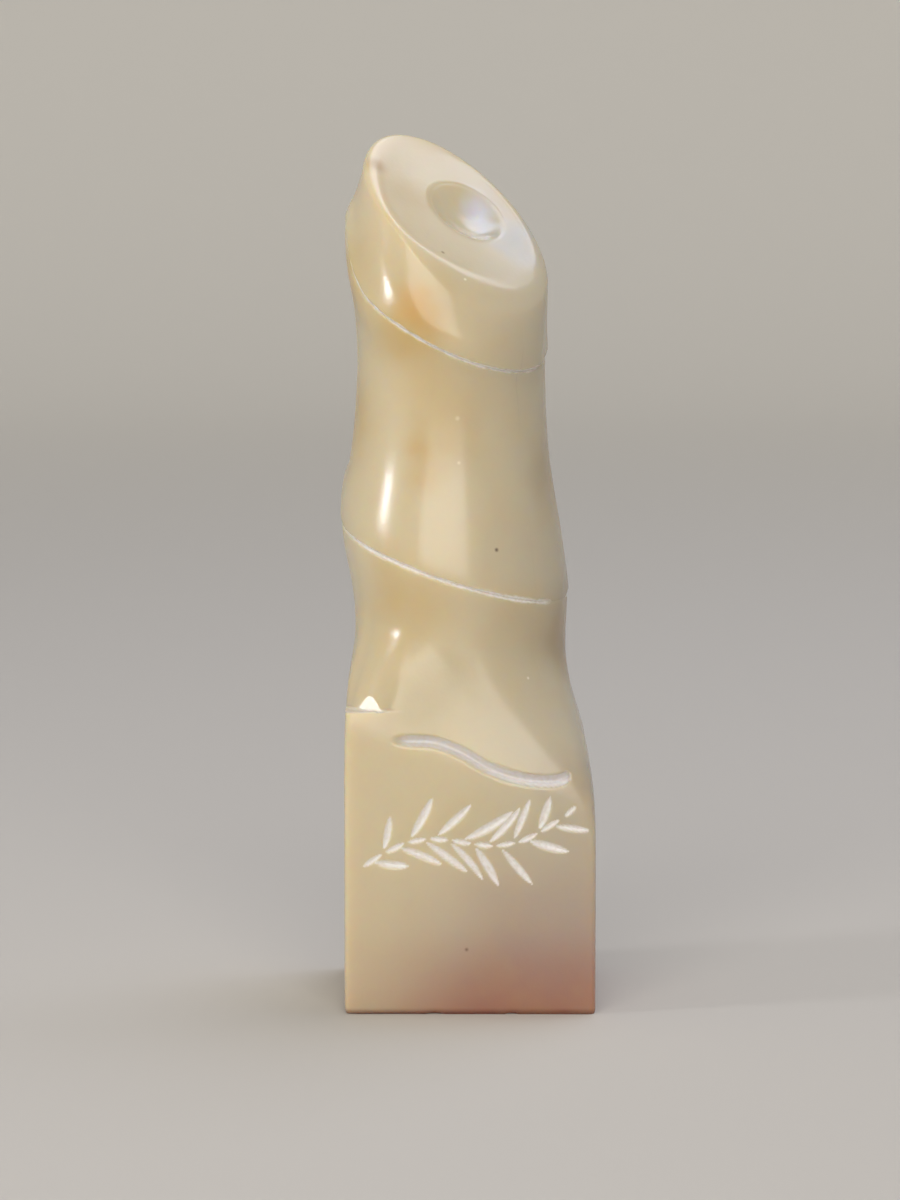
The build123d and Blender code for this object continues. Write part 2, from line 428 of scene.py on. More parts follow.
printingFace = {
    "blockHalf": 10,
    "reach": 9.55,  # of the grid, which ends inside the eased bottom edge
    "cells": 126,
    "border": 1.1,
    "depth": 0.8,
    "stemWidth": 1.2,
    "stemGap": 0.5,
    "leafWidth": 1.9,
    "wobble": 0.035,  # unevenness of the raised edges, chisel marks of the ground, wear
    "chisel": 0.12,
    "wear": 0.012,
    # Joints of the stem, and leaves by root, heading and length, as shares of half the field
    "stemShares": [(-0.42, -1.1), (-0.16, -0.36), (0.07, 0.30), (0.40, 1.1)],
    "leafShares": [
        (-0.26, -0.68, -8, 0.85), (-0.18, -0.42, 198, 0.66), (-0.10, -0.26, 10, 0.92),
        (0.04, 0.22, 162, 0.82), (0.10, 0.36, -14, 0.74), (0.21, 0.62, 22, 0.62),
    ],
}


def raisedDistance(x, y):
    # Distance from the nearest raised form, below 0 inside it: the border's inner edge, the
    # stem's bars and the leaves, whose half width follows a parabola from root to tip
    half = printingFace["blockHalf"] - printingFace["border"]
    nearest = half - np.maximum(np.abs(x), np.abs(y))
    joints = np.array(printingFace["stemShares"]) * half
    for (x0, y0), (x1, y1) in zip(joints[:-1], joints[1:]):
        length = math.hypot(x1 - x0, y1 - y0)
        along = ((x - x0) * (x1 - x0) + (y - y0) * (y1 - y0)) / length
        across = np.abs((y - y0) * (x1 - x0) - (x - x0) * (y1 - y0)) / length
        beyond = np.abs(along - length / 2) - (length - printingFace["stemGap"]) / 2
        nearest = np.minimum(nearest, np.maximum(beyond, across - printingFace["stemWidth"] / 2))
    for shareX, shareY, heading, lengthShare in printingFace["leafShares"]:
        length = lengthShare * half
        turn = math.radians(heading)
        along = (x - shareX * half) * math.cos(turn) + (y - shareY * half) * math.sin(turn)
        across = np.abs((y - shareY * half) * math.cos(turn) - (x - shareX * half) * math.sin(turn))
        beyond = np.maximum(np.maximum(-along, along - length), 0)
        leafHalf = printingFace["leafWidth"] / 2 * np.clip(1 - (2 * along / length - 1) ** 2, 0, 1)
        out = np.hypot(np.maximum(across - leafHalf, 0), beyond) - np.maximum(leafHalf - across, 0)
        nearest = np.minimum(nearest, out)
    return nearest


def printingGrid():
    # A square grid under the block. Points near a raised form's edge are drawn onto it, so
    # the edge is clean, and points further out sink to the ground, which the knife left uneven
    cells = printingFace["cells"]
    side = np.linspace(-printingFace["reach"], printingFace["reach"], cells + 1)
    step = side[1] - side[0]
    x, y = np.meshgrid(side, side, indexing="ij")
    wobble = printingFace["wobble"] * handWaves(x, y, 21, longest=3.0)
    distance = raisedDistance(x, y) + wobble
    slopeX, slopeY = np.gradient(distance, step)
    steep = np.maximum(np.hypot(slopeX, slopeY), 0.3)
    inside = np.maximum(np.abs(x), np.abs(y)) < printingFace["reach"] - 0.1
    near = (np.abs(distance) < 0.55 * step) & inside
    x = np.where(near, x - distance * slopeX / steep**2, x)
    y = np.where(near, y - distance * slopeY / steep**2, y)
    ground = ~near & (distance > 0) & inside
    marks = 0.5 + 0.5 * np.sin(5.2 * (x * 0.8 + y * 0.6) + 1.5 * handWaves(x, y, 8, longest=6.0))
    worn = printingFace["wear"] * (1 + handWaves(x, y, 9, longest=8.0)).clip(0, 2)
    z = np.where(ground, printingFace["depth"] - printingFace["chisel"] * marks, worn)
    paste = np.where(ground, 0.0, 1.0)
    return np.stack([x, y, z], axis=-1).reshape(-1, 3), paste.ravel()


def zipRings(outer, inner, outerAngles, innerAngles):
    # Triangles between two rings round one centre: at each angle where either ring has a
    # point, the strip steps on to it
    order = np.argsort(np.concatenate([outerAngles, innerAngles]), kind="stable")
    isOuter = order < len(outer)
    outer = outer[np.argsort(outerAngles, kind="stable")]
    inner = inner[np.argsort(innerAngles, kind="stable")]
    outerStep, innerStep = np.cumsum(isOuter) - 1, np.cumsum(~isOuter) - 1
    return np.where(
        isOuter[:, None],
        np.stack([outer[outerStep - 1], outer[outerStep], inner[innerStep]], axis=1),
        np.stack([inner[innerStep], inner[innerStep - 1], outer[outerStep]], axis=1),
    )


def carvedSkin(height, angle):
    # The skin with all that is carved into it, and how far each of its points is cut with
    # the knife, painted highlights and pale paint over shade included, and lies in the groove;
    # x, y and z follow the points as they are moved
    points, _ = skinPoint(height, angle)
    x, y, z = points[..., 0], points[..., 1], points[..., 2]
    outward = np.stack([np.cos(angle), np.sin(angle)], axis=-1)
    degrees = np.degrees(angle) % 360
    girth = angle * stone["meanRadius"]
    groove = np.zeros(height.shape)

    # Hand carving leaves the culm slightly uneven, more along it than round it
    onCulm = rise(height, 21.5, 30)
    move = stone["waves"] * onCulm * handWaves(height * 0.6, girth, 3) * rise(stone["mouth"] - height, 0.5, 3)

    # The front of the ledge is a fine knife cut, made pale, which also paints light over the shelf's shade
    cutMiddle, cutReach, cutWidth, cutShare = stone["ledgeCutOverShade"]
    cut = cutShare * bump(z - stone["ledgeTop"], cutWidth) * bump(degrees - cutMiddle, cutReach)

    # The line round each node, with a lip above it that runs out upwards
    for node, fade, lip, seed in (
        (stone["lowerNode"], nodeLine["lowerFade"], nodeLine["lowerLip"], 5),
        (stone["upperNode"], nodeLine["upperFade"], nodeLine["upperLip"], 6),
    ):
        offset = height - node
        around = handWaves(girth, angle * 0, seed, longest=5.0)
        shown = 1 - rise(degrees, *fade) * (1 - rise(degrees, *nodeLine["return"])) * 0.9
        nicks = handWaves(girth, offset * 3, seed + 20, longest=1.3)
        half = nodeLine["width"] / 2 * (1 + nodeLine["wander"] * around + nodeLine["nicks"] * nicks)
        share = np.clip(1 - np.abs(offset) / half, 0, 1) * shown
        move = move - nodeLine["depth"] * share
        move = move + lip * np.where(offset > 0, np.exp(-((offset / nodeLine["lipReach"]) ** 2)), 0) * shown
        cut = np.maximum(cut, rise(share, 0.05, 0.5))
    points[..., :2] += move[..., None] * outward

    # The facet: what stands out a little over its plane is cut back to it
    facing = np.array(facet["normal"]) / np.linalg.norm(facet["normal"])
    over = points @ facing
    mostX, mostY, leastRow = facet["corner"]
    corner = (x < mostX) & (y < mostY) & (height > leastRow)
    corner = corner & (z > facet["foot"]) & (z < facet["foot"] + facet["height"])
    ridgeLow, ridgeHigh = facet["ridge"]
    ridge = over[corner & (z > facet["foot"] + ridgeLow) & (z < facet["foot"] + ridgeHigh)].max()
    over = (over - ridge + facet["depth"]) * corner
    over = np.where(over < 3 * facet["depth"], np.maximum(over, 0), 0)
    over = over * rise(z, facet["foot"], facet["foot"] + 0.1)
    points -= over[..., None] * facing
    # The facet is made paler: partly knife powder, partly a painted highlight
    cut = np.maximum(cut, facet["whiterPowderAndGlint"] * (over > 0))

    # The front's knife strokes and groove, pushed straight back
    lowest, highest = carving["rows"]
    front = (y < -5) & (height > lowest) & (height < highest)
    frontX, frontZ = x[front], z[front]
    strokeDepth, strokeCut = knifeStrokes(frontX, frontZ, twigStrokes())
    lineZ = softRun(footGroove["line"], frontX, footGroove["soft"])
    slope = (softRun(footGroove["line"], frontX + 0.1, footGroove["soft"]) - lineZ) / 0.1
    offLine = np.abs(frontZ - lineZ) / np.hypot(1, slope)
    narrows, ends = footGroove["end"]
    runIn = rise(frontX, *footGroove["start"]) * rise(-frontX, -ends, -narrows)
    thin, shallow = footGroove["thin"], footGroove["shallow"]
    grooveHalf = footGroove["width"] / 2 * (thin + (1 - thin) * runIn)
    channel = np.clip(1 - (offLine / grooveHalf) ** 2, 0, 1) * (runIn > 0) * (shallow + (1 - shallow) * runIn)
    points[front, 1] += carving["depthShare"] * strokeDepth + footGroove["depth"] * channel * rise(runIn, 0, 0.6)
    # The lower wall's band is painted pale: partly powder, partly a painted highlight along the groove's edge
    below, bandWidth = footGroove["powderAndHighlightBand"]
    narrows, ends = footGroove["powderAndHighlightEnd"]
    lowerWallHighlight = bump((frontZ - lineZ) / grooveHalf + below, bandWidth)
    lowerWallHighlight = lowerWallHighlight * rise(frontX, *footGroove["powderAndHighlightStart"]) * rise(-frontX, -ends, -narrows)
    cut[front] = np.maximum(cut[front], np.maximum(strokeCut, footGroove["powder"] * lowerWallHighlight))
    groove[front] = rise(channel, 0.0, 0.5) * rise(runIn, 0, 1)

    # The bottom edge is eased and chipped: its last rows are drawn in and up
    edge = np.clip(1 - height / bottomEdge["height"], 0, 1)
    waves = handWaves(x, y, 12, waves=14, longest=bottomEdge["chipWidth"])
    chips = np.clip(waves - bottomEdge["chipRarity"], 0, 1) * bottomEdge["chips"]
    chipX, chipReach, chipDepth = bottomEdge["frontChip"]
    chips = chips + chipDepth * bump(x - chipX, chipReach) * (y < -9)
    easing = (bottomEdge["easing"] + chips) * edge**2
    points[..., :2] -= easing[..., None] * points[..., :2] / np.hypot(x, y)[..., None]
    lift = np.where(height < bottomEdge["height"], chips * edge * bottomEdge["chipRise"], 0)
    points[..., 2] = np.maximum(points[..., 2], 0) + lift
    return points, cut, groove


def mouthRows(angles):
    # The rim turns over from the side to the cut through a quarter circle, while its rings
    # pass from the skin's own to shifted copies of the mouth's
    turns = np.linspace(0, math.pi / 2, rim["rows"] + 1)[1:]
    degrees = np.degrees(angles) % 360
    crispMiddle, crispReach = rim["crispPlace"]
    wideMiddle, wideReach = rim["widePlace"]
    crisper = rim["crisper"] * bump(degrees - crispMiddle, crispReach)
    easing = rim["easing"] - crisper + rim["wider"] * bump(degrees - wideMiddle, wideReach)
    mouthRing, mouthCentre = skinPoint(np.full(len(angles), stone["mouth"]), angles)
    middle = np.array([mouthCentre[0], 0, stone["mouth"]])
    spokes = mouthRing - middle
    spokeLengths = np.linalg.norm(spokes, axis=1, keepdims=True)
    rimRows = []
    for turn in turns:
        down = easing * (1 - math.sin(turn))
        inward = (easing * (1 - math.cos(turn)))[:, None]
        ring, _ = skinPoint(stone["mouth"] - down, angles)
        flat = middle + spokes - down[:, None] * [0, 0, 1]
        base = ring + (flat - ring) * rise(turn, 0.2, 1.2)
        rimRows.append(base - spokes / spokeLengths * inward)

    # The cut runs in from the rim to the hollow's edge, and the hollow on to its middle
    _, fall, dip = stone["rings"][-1]
    upSlope = np.array([-fall, dip, fall**2 + dip**2]) / math.hypot(fall, dip, fall**2 + dip**2)
    across = np.array([dip, fall, 0]) / math.hypot(dip, fall)
    normal = np.array([fall, -dip, 1]) / math.sqrt(1 + fall**2 + dip**2)
    hollowCentre = middle + hollow["upSlope"] * upSlope + hollow["across"] * across
    rays = np.stack([np.cos(angles), np.sin(angles), -fall * np.cos(angles) + dip * np.sin(angles)], axis=1)
    rays /= np.linalg.norm(rays, axis=1, keepdims=True)
    edgeRing = hollowCentre + hollow["radius"] * rays
    rimRing = rimRows[-1]
    shares = np.linspace(0, 1, rim["cutRows"] + 2)[1:-1]
    faceRows = [rimRing + (edgeRing - rimRing) * share for share in shares]
    lowSide = -(rays @ upSlope) * 0.8 + (rays @ across) * 0.2
    hollowRows = []
    for share in hollow["rows"]:
        sink = hollow["depth"] * np.clip(1 - share**2, 0, 1) * (1 + hollow["lean"] * share * lowSide)
        lip = hollow["lip"] * bump(np.array(share - 1.0), 0.06)
        hollowRows.append(hollowCentre + share * hollow["radius"] * rays - (sink + lip)[:, None] * normal)

    # The dish is deepest at the mouth's middle and runs out at the rim, like a shallow bowl
    bottom = np.broadcast_to(hollowCentre - hollow["depth"] * normal, rays.shape)
    inCut = np.stack(faceRows + hollowRows + [bottom])
    fromMiddle = inCut - middle
    away = np.linalg.norm(fromMiddle - (fromMiddle @ normal)[..., None] * normal, axis=-1)
    rimReach = np.linalg.norm(rimRing - middle, axis=1).mean()
    dish = rim["dish"] * np.clip(1 - (away / rimReach) ** 2, 0, 1)
    inCut = inCut - dish[..., None] * normal
    return rimRows + list(inCut[:-1]), inCut[-1][:1]


def buildStone():
    # Rows of the skin, the rim, the cut and the hollow close in a fan round one point; under
    # them lies the printing face's grid, joined to the lowest row by a strip of triangles
    angles = columnAngles()
    columns = len(angles)
    height, angle = np.meshgrid(rowHeights(), angles, indexing="ij")
    skin, cut, groove = carvedSkin(height, angle)
    capRows, pole = mouthRows(angles)
    rows = np.concatenate([skin, np.stack(capRows)], axis=0)
    rowCount = len(rows)
    under, paste = printingGrid()
    vertices = np.concatenate([rows.reshape(-1, 3), pole, under])
    index = np.arange(rowCount * columns).reshape(rowCount, columns)
    nextColumn = np.roll(index, -1, axis=1)
    quads = np.stack([index[:-1], nextColumn[:-1], nextColumn[1:], index[1:]], axis=-1).reshape(-1, 4)
    poleIndex = rowCount * columns
    fan = np.stack([index[-1], nextColumn[-1], np.full(columns, poleIndex)], axis=1)

    cells = printingFace["cells"]
    grid = np.arange((cells + 1) ** 2).reshape(cells + 1, cells + 1) + poleIndex + 1
    underQuads = np.stack([grid[:-1, :-1], grid[:-1, 1:], grid[1:, 1:], grid[1:, :-1]], axis=-1).reshape(-1, 4)
    border = np.concatenate([grid[:-1, 0], grid[-1, :-1], grid[:0:-1, -1], grid[0, :0:-1]])
    borderPlace = vertices[border]
    rowPlace = vertices[index[0]]
    strip = zipRings(
        index[0], border,
        np.arctan2(rowPlace[:, 1], rowPlace[:, 0]) % (2 * math.pi),
        np.arctan2(borderPlace[:, 1], borderPlace[:, 0]) % (2 * math.pi),
    )

    mesh = bpy.data.meshes.new("sealStone")
    faces = [face.tolist() for face in (quads, fan, underQuads, strip)]
    mesh.from_pydata((vertices * mm).tolist(), [], sum(faces, []))
    work = bmesh.new()
    work.from_mesh(mesh)
    bmesh.ops.recalc_face_normals(work, faces=work.faces)
    openEdges = sum(len(edge.link_faces) != 2 for edge in work.edges)
    work.to_mesh(mesh)
    work.free()
    total = len(vertices)
    spare = np.zeros(total - cut.size)
    for name, values in (
        ("knifeCutAndPaintedLight", np.concatenate([cut.ravel(), spare])),
        ("groove", np.concatenate([groove.ravel(), spare])),
        ("paste", np.concatenate([np.zeros(total - len(paste)), paste])),
    ):
        mesh.attributes.new(name, "FLOAT", "POINT").data.foreach_set("value", values.astype(np.float32))
    mesh.polygons.foreach_set("use_smooth", np.ones(len(mesh.polygons), bool))
    mesh.set_sharp_from_angle(angle=math.radians(stone["sharpAngle"]))
    triangles = 2 * (len(quads) + len(underQuads)) + len(fan) + len(strip)
    print("seal: stone skin of", rowCount, "rows,", columns, "columns and", triangles, "triangles")
    print("seal: stone skin has", openEdges, "open edges")
    stoneObject = bpy.data.objects.new("carvedSealStone", mesh)
    bpy.context.collection.objects.link(stoneObject)
    return stoneObject


stonePiece = buildStone()


def addNode(tree, kind, settings=None, inputs=None):
    # Settings are properties of the node; an input is a value, or a socket to link from
    node = tree.nodes.new(kind)
    for name, value in (settings or {}).items():
        setattr(node, name, value)
    for name, value in (inputs or {}).items():
        if isinstance(value, bpy.types.NodeSocket):
            tree.links.new(value, node.inputs[name])
        else:
            node.inputs[name].default_value = value
    return node


def combine(tree, kind, first, second):
    return addNode(tree, "ShaderNodeMath", {"operation": kind}, {0: first, 1: second}).outputs[0]


def ramped(tree, value, low, high, outLow=0.0, outHigh=1.0):
    # outLow up to low, outHigh from high on, an S between them
    return addNode(tree, "ShaderNodeMapRange", {"interpolation_type": "SMOOTHSTEP"}, {
        "Value": value, "From Min": low, "From Max": high, "To Min": outLow, "To Max": outHigh}).outputs["Result"]


soapstone = {
    # Polished soapstone: waxy and see-through at its edges, clouded cream and honey with a
    # pink stain that rises from the foot, and powdery white wherever a knife has cut it
    "cream": "#dccfae",
    "honey": "#cfb47b",
    "pearlAndShade": "#c3bba8",
    "shadeUmber": "#9b7c4f",
    "mauve": "#b5a094",
    "stain": "#a8705c",
    "deepStain": "#7c3b2c",
    "powder": "#f4f1ee",
    "haze": "#e2e0e7",
    "paste": "#b1402f",
    "cloudWidth": 15.0,
    "mottleWidth": 4.0,
    "grainWidth": 0.35,
    "patchWidth": 1.6,  # of the seal paste
    "warpWidth": 7,  # the clouds below are warped by so much, over so wide a stretch
    "warp": 6,
    # Clouds of honey in the stone: centre, reach, strength. The one at the left edge, 58.5 mm up,
    # is partly a painted amber glow of light through the thin edge
    "honeyClouds": [
        ((-4.5, -7.0, 54.0), 6.5, 0.8), ((-1.8, -7.5, 46.5), 6.0, 0.55), ((-9.5, -2.0, 58.5), 6.0, 0.6),
        ((-5.0, -7.0, 33.2), 6.5, 0.5), ((4.5, -5.5, 30.0), 6.5, 0.6), ((7.5, -1.0, 29.0), 5.0, 0.8),
        ((-9.5, 1.0, 46.0), 8.0, 0.6), ((2.0, 7.0, 38.0), 9.0, 0.7), ((-6.0, 9.0, 20.0), 9.0, 0.6),
        ((9.0, 6.0, 14.0), 8.0, 0.5),
    ],
    # Clouds of umber at the right, painted shade on the side away from the key lamp: centre, reach, strength
    "rightShadeClouds": [((7.9, -0.5, 29.3), 7.6, 0.72), ((7.0, -0.5, 42.0), 7.0, 0.5), ((6.5, 5.0, 51.0), 8.0, 0.3)],
    # Small marks on the front: across, up, reach, strength, colour. Most are the stone's own spots
    # and specks; the last five are painted light, as the comment above them says
    "marks": [
        (-4.6, 56.0, 2.4, 0.45, "#dbaa58"), (-3.3, 55.0, 2.2, 0.35, "#cf9f4c"), (-4.3, 44.8, 1.8, 0.3, "#d0a353"),
        (-3.9, 42.8, 2.6, 0.3, "#d0a353"), (2.0, 36.7, 0.24, 0.9, "#6d5a4c"), (-2.2, 60.2, 0.22, 0.7, "#8b7a5c"),
        (-0.2, 5.7, 0.24, 0.8, "#7a5d4c"), (-0.4, 58.2, 0.2, 0.8, "#fff6e6"), (4.6, 26.6, 0.2, 0.8, "#fbf3ea"),
        (-1.0, 47.2, 0.28, 0.5, "#f6ecd2"), (-1.0, 43.5, 0.2, 0.6, "#f6ecd2"), (-7.6, 67.3, 1.3, 0.55, "#b08f60"),
        # Painted light: a painted reflection in the hollow and one on the cut's right, then painted shade at the
        # hollow's upper left, on the left shoulder and on the block's right
        (1.0, 63.3, 2.7, 0.9, "#dfe0ea"), (3.7, 61.1, 3.6, 0.6, "#b3bcc4"), (-4.0, 64.2, 3.0, 0.3, "#c4a467"),
        (-4.0, 25.3, 5.0, 0.38, "#b3a474"), (9.0, 18.3, 4.5, 0.32, "#8f7d78"),
    ],
    # Pearl grows between two places across, mauve and stain down from two heights to two
    # others, each stronger to the right, where that is painted shade over the stone's own
    # grey, mauve and pink: from where to where, and the share at either
    "pearlAndShadeRange": (-2, 12, 0.0, 0.8),
    "mauveFall": (14, 0, 0.0, 0.85),
    "mauveAndShadeAcross": (-12, 6, 0.1, 0.95),
    "stainFall": (5.5, -3.5, 0.0, 1.0),
    "stainAndShadeAcross": (-10, 2, 0.25, 0.85),
    "deepFall": (0.6, 0, 0.0, 0.8),
    "scatter": (1.0, 0.62, 0.30),
    "scatterDepth": 2.0,
    "roughness": (0.18, 0.26),  # from mottle to mottle
    "cutRoughness": 0.45,
    "pasteRoughness": 0.3,
    "ior": 1.55,
    "coat": 0.15,
    "coatRoughness": 0.12,
    "grainDepth": 0.03,
    "grainStrength": 0.25,
}


def perMetre(millimetres):
    # A pattern's scale is how many of its cells fit in a metre
    return 1 / (millimetres * mm)


def frontPoint(across, up):
    # The point of the stone's front skin nearest to a place seen from the front, and of
    # points about as near the foremost
    count = len(stonePiece.data.vertices)
    skin = np.zeros(count * 3)
    stonePiece.data.vertices.foreach_get("co", skin)
    skin = skin.reshape(-1, 3)
    front = skin[skin[:, 1] < 5 * mm]
    nearest = np.argmin(np.hypot(front[:, 0] - across * mm, front[:, 2] - up * mm) + 0.02 * front[:, 1])
    return front[nearest].tolist()


def makeSoapstone():
    material = bpy.data.materials.new("polished soapstone")
    material.use_nodes = True
    tree = material.node_tree
    tree.nodes.clear()
    place = addNode(tree, "ShaderNodeTexCoord").outputs["Object"]
    split = addNode(tree, "ShaderNodeSeparateXYZ", inputs={0: place})

    def noise(width, detail, output="Fac"):
        return addNode(tree, "ShaderNodeTexNoise", inputs={
            "Vector": place, "Scale": perMetre(width), "Detail": detail, "Roughness": 0.5}).outputs[output]

    def ramp(value, low, high, outLow=0.0, outHigh=1.0):
        return ramped(tree, value, low, high, outLow, outHigh)

    def rampAlong(coordinate, low, high, outLow, outHigh):
        return ramped(tree, coordinate, low * mm, high * mm, outLow, outHigh)

    def sums(kind, first, second):
        return combine(tree, kind, first, second)

    def blend(share, first, second):
        return addNode(tree, "ShaderNodeMix", {"data_type": "RGBA"}, {0: share, 6: first, 7: second}).outputs[2]

    def tint(share, under, colour):
        return blend(share, under, linearColour(soapstone[colour]))

    def vectorMath(kind, inputs, output="Vector"):
        return addNode(tree, "ShaderNodeVectorMath", {"operation": kind}, inputs).outputs[output]

    def attribute(name):
        return addNode(tree, "ShaderNodeAttribute", {"attribute_name": name}).outputs["Fac"]

    clouds = noise(soapstone["cloudWidth"], 2)
    mottles = noise(soapstone["mottleWidth"], 2)
    grain = noise(soapstone["grainWidth"], 2)
    drift = noise(soapstone["warpWidth"], 2, "Color")
    warp = soapstone["warp"] * mm
    shift = vectorMath("MULTIPLY_ADD", {0: drift, 1: [warp] * 3, 2: [-warp / 2] * 3})
    warped = vectorMath("ADD", {0: place, 1: shift})
    x, z = split.outputs["X"], split.outputs["Z"]

    def clouded(coordinate, reach):
        # A coordinate that wanders with the clouds by up to reach
        return sums("ADD", coordinate, sums("MULTIPLY", clouds, reach * mm))

    def awayFrom(centre):
        return vectorMath("DISTANCE", {0: warped, 1: [value * mm for value in centre]}, "Value")

    # Honey gathers in clouds; pearl grey, partly painted shade, and umber, a painted shade, gather on the right
    honeyShare = sums("MULTIPLY", ramp(clouds, 0.3, 0.8), 0.45)
    # The honey cloud at the left edge is partly a painted glow of light through the edge
    for centre, reach, strength in soapstone["honeyClouds"]:
        honeyShare = sums("ADD", honeyShare, rampAlong(awayFrom(centre), 0.0, reach, strength, 0.0))
    body = tint(ramp(honeyShare, 0.0, 1.25), linearColour(soapstone["cream"]), "honey")
    # Partly painted shade: pearl grey grows towards the right, the side away from the key lamp
    body = tint(rampAlong(clouded(x, 6), *soapstone["pearlAndShadeRange"]), body, "pearlAndShade")
    # Painted shade: umber darkens the right side, away from the key lamp
    for centre, reach, strength in soapstone["rightShadeClouds"]:
        body = tint(rampAlong(awayFrom(centre), 0.0, reach, strength, 0.0), body, "shadeUmber")

    # Mauve, stain and deep stain gather one after the other towards the foot
    mauve = rampAlong(clouded(z, -8), *soapstone["mauveFall"])
    # Painted shade: mauve and stain are both made stronger to the right, away from the key lamp
    body = tint(sums("MULTIPLY", mauve, rampAlong(x, *soapstone["mauveAndShadeAcross"])), body, "mauve")
    stain = rampAlong(clouded(z, -5), *soapstone["stainFall"])
    body = tint(sums("MULTIPLY", stain, rampAlong(x, *soapstone["stainAndShadeAcross"])), body, "stain")
    body = tint(rampAlong(z, *soapstone["deepFall"]), body, "deepStain")
    body = tint(ramp(mottles, 0.45, 0.8, 0.0, 0.14), body, "honey")

    # Marks: spots on the front, with uneven edges; the last five are painted reflection and painted shade
    for across, up, reach, strength, colour in soapstone["marks"]:
        away = vectorMath("DISTANCE", {0: place, 1: frontPoint(across, up)}, "Value")
        away = sums("ADD", away, sums("MULTIPLY", sums("SUBTRACT", mottles, 0.5), 1.4 * reach * mm))
        body = blend(rampAlong(away, reach, 0.0, 0.0, strength), body, linearColour(colour))

    # The groove is hazy and the knife cuts are powdery, and the same mask carries painted highlights
    # on the facet and the groove's lower wall and pale paint over the ledge's shade; seal paste is
    # left on what prints, patchy and matt
    cut, groove, paste = attribute("knifeCutAndPaintedLight"), attribute("groove"), attribute("paste")
    body = tint(sums("MULTIPLY", groove, ramp(grain, 0.3, 0.65, 0.5, 0.7)), body, "haze")
    body = tint(sums("MULTIPLY", cut, ramp(grain, 0.3, 0.6, 0.72, 1.0)), body, "powder")
    pasted = sums("MULTIPLY", paste, ramp(noise(soapstone["patchWidth"], 4), 0.3, 0.62, 0.25, 0.95))
    body = tint(pasted, body, "paste")
    rough = ramp(mottles, 0.3, 0.7, *soapstone["roughness"])
    rough = sums("ADD", rough, sums("MULTIPLY", cut, soapstone["cutRoughness"]))
    rough = sums("ADD", rough, sums("MULTIPLY", pasted, soapstone["pasteRoughness"]))

    # Light goes into the stone, less where it is cut and hazy
    dull = sums("MAXIMUM", sums("MULTIPLY", cut, 0.8), sums("MULTIPLY", groove, 0.5))
    clear = sums("SUBTRACT", 1.0, dull)
    relief = addNode(tree, "ShaderNodeBump", inputs={
        "Strength": soapstone["grainStrength"], "Distance": soapstone["grainDepth"] * mm, "Height": grain})
    shader = addNode(tree, "ShaderNodeBsdfPrincipled", {"subsurface_method": "RANDOM_WALK"}, {
        "Base Color": body, "Roughness": rough, "IOR": soapstone["ior"], "Normal": relief.outputs["Normal"],
        "Subsurface Weight": clear, "Subsurface Radius": soapstone["scatter"],
        "Subsurface Scale": soapstone["scatterDepth"] * mm,
        "Coat Weight": soapstone["coat"], "Coat Roughness": soapstone["coatRoughness"],
    })
    addNode(tree, "ShaderNodeOutputMaterial", inputs={"Surface": shader.outputs[0]})
    return material


stonePiece.data.materials.append(makeSoapstone())
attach(stonePiece, "root")
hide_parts("seal_stone")
print("seal: stone dressed in polished soapstone")


# Floor that turns up into a wall all round, lights and camera

studio = {
    "floorColour": "#cfcbc3",
    "airColour": "#f4f3f0",
    "wallGlow": 0.4,
    "glowReach": (100, 1100),  # where it sets in and is full, from the object
    "flatReach": 700,
    "wallHeight": 1500,
    "bend": 500,
    "aim": (-1.6, 0, 34),
    # Direction from the object, distance, size, power in watts, colour
    "lamps": {
        "keySoftbox": ((-0.90, -0.30, 0.28), 420, (60, 60), 0.36, "#f8f8ff"),
        "ceilingPanel": ((0.25, 0.285, 0.925), 600, (400, 400), 1.5, "#e2e7fc"),
        "frontFill": ((-0.08, -0.85, 0.45), 700, (600, 600), 3.1, "#fffaf4"),
    },
    "ambient": 0.42,
}

# Where the photo was taken from: the lens on its sensor, and degrees up from straight down
viewpoint = {
    "lens": 133.42,
    "sensor": 36,
    "place": (-1.5965, -358.03, 69.70),
    "tilt": 84,
}


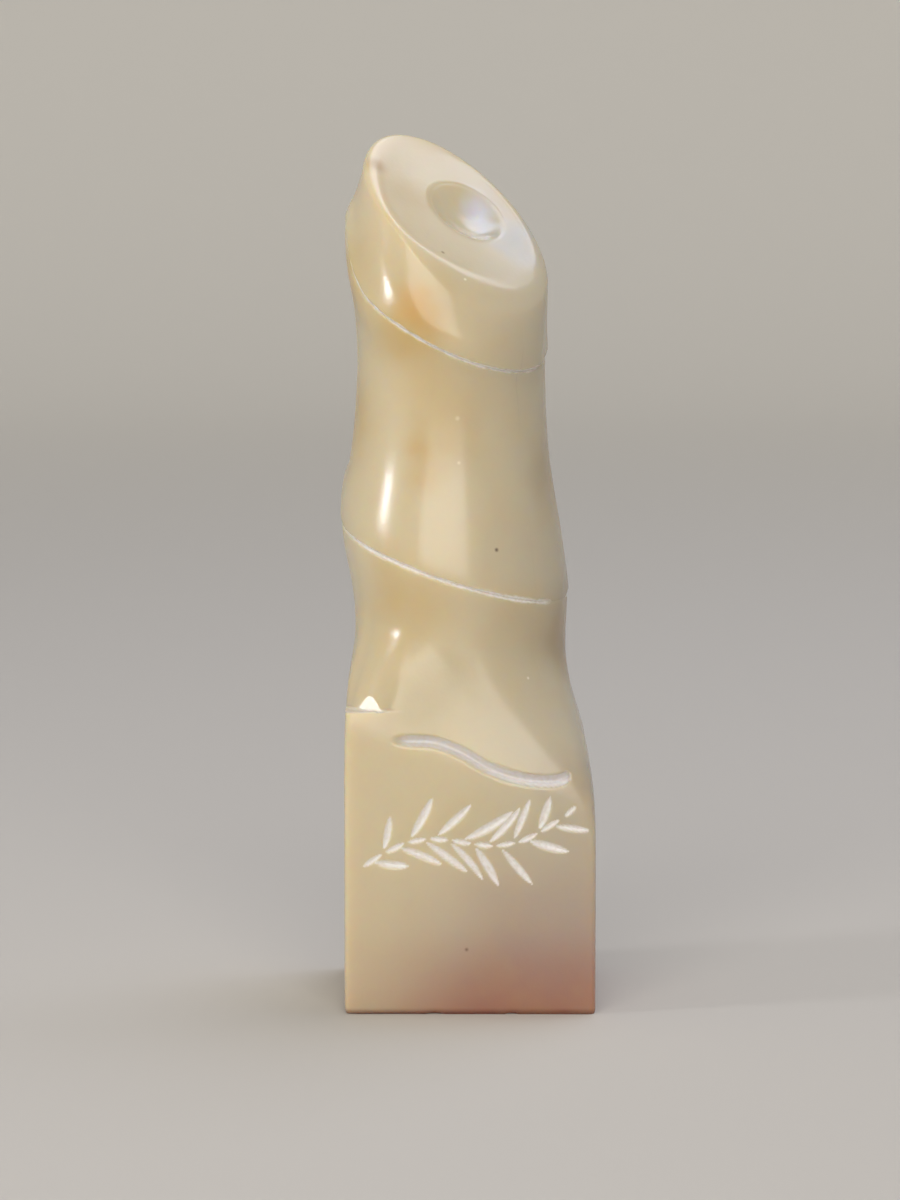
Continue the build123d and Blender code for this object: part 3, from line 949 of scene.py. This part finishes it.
def buildCove():
    # A profile of flat floor, quarter circle and wall, turned round the object
    flat, bend = studio["flatReach"], studio["bend"]
    turns = np.linspace(0, math.pi / 2, 24)
    reach = np.concatenate([[0, flat * 0.5], flat + bend * np.sin(turns), [flat + bend]])
    height = np.concatenate([[0, 0], bend * (1 - np.cos(turns)), [studio["wallHeight"]]])
    around = np.linspace(0, 2 * math.pi, 97)[:-1]
    level = np.outer(height, np.ones(len(around)))
    points = np.stack([np.outer(reach, np.cos(around)), np.outer(reach, np.sin(around)), level], axis=-1)[1:]
    index = np.arange(points[..., 0].size).reshape(points.shape[:2])
    turned = np.roll(index, -1, axis=1)
    quads = np.stack([index[:-1], turned[:-1], turned[1:], index[1:]], axis=-1).reshape(-1, 4)
    mesh = bpy.data.meshes.new("studioCove")
    mesh.from_pydata((points.reshape(-1, 3) * mm).tolist(), [], quads.tolist() + [index[0][::-1].tolist()])
    mesh.polygons.foreach_set("use_smooth", np.ones(len(mesh.polygons), bool))
    cove = bpy.data.objects.new("studioCove", mesh)
    bpy.context.collection.objects.link(cove)
    # Matt paper; where it rises behind the object it also shows pale of its own to the eye
    # and in reflections, and so needs no more light on the object
    material = bpy.data.materials.new("matt studio paper")
    material.use_nodes = True
    tree = material.node_tree
    shader = tree.nodes["Principled BSDF"]
    path = addNode(tree, "ShaderNodeLightPath")
    seen = combine(tree, "MAXIMUM", path.outputs["Is Camera Ray"], path.outputs["Is Glossy Ray"])
    seen = combine(tree, "MAXIMUM", seen, path.outputs["Is Transmission Ray"])
    place = addNode(tree, "ShaderNodeTexCoord").outputs["Object"]
    out = addNode(tree, "ShaderNodeVectorMath", {"operation": "LENGTH"}, {0: place}).outputs["Value"]
    near, far = studio["glowReach"]
    glow = combine(tree, "MULTIPLY", seen, ramped(tree, out, near * mm, far * mm, 0.0, studio["wallGlow"]))
    shader.inputs["Base Color"].default_value = linearColour(studio["floorColour"])
    shader.inputs["Roughness"].default_value = 0.9
    shader.inputs["Specular IOR Level"].default_value = 0.1
    shader.inputs["Emission Color"].default_value = linearColour(studio["floorColour"])
    tree.links.new(glow, shader.inputs["Emission Strength"])
    mesh.materials.append(material)


def addLamp(name, direction, distance, size, power, colour):
    lamp = bpy.data.lights.new(name, "AREA")
    lamp.shape = "RECTANGLE"
    lamp.size, lamp.size_y = size[0] * mm, size[1] * mm
    lamp.energy = power
    lamp.color = linearColour(colour)[:3]
    lampObject = bpy.data.objects.new(name, lamp)
    aim = np.array(studio["aim"]) * mm
    way = np.array(direction) / np.linalg.norm(direction)
    lampObject.location = aim + way * distance * mm
    across = np.cross([0, 0, 1], way)
    across /= np.linalg.norm(across)
    turned = np.stack([across, np.cross(way, across), way], axis=1)
    lampObject.rotation_mode = "QUATERNION"
    lampObject.rotation_quaternion = Matrix(turned.tolist()).to_quaternion()
    lampObject.visible_camera = False
    bpy.context.collection.objects.link(lampObject)


buildCove()
for lampName, lampSettings in studio["lamps"].items():
    addLamp(lampName, *lampSettings)

world = bpy.data.worlds.new("studioAir")
bpy.context.scene.world = world
world.use_nodes = True
world.node_tree.nodes["Background"].inputs["Color"].default_value = linearColour(studio["airColour"])
world.node_tree.nodes["Background"].inputs["Strength"].default_value = studio["ambient"]

camera = bpy.data.cameras.new("photoCamera")
camera.lens = viewpoint["lens"]
camera.sensor_width = viewpoint["sensor"]
camera.clip_start, camera.clip_end = 0.01, 10
cameraObject = bpy.data.objects.new("photoCamera", camera)
cameraObject.location = [value * mm for value in viewpoint["place"]]
cameraObject.rotation_euler = (math.radians(viewpoint["tilt"]), 0, 0)
bpy.context.collection.objects.link(cameraObject)
bpy.context.scene.camera = cameraObject
bpy.context.scene.view_settings.view_transform = "Standard"
print("seal: studio set")
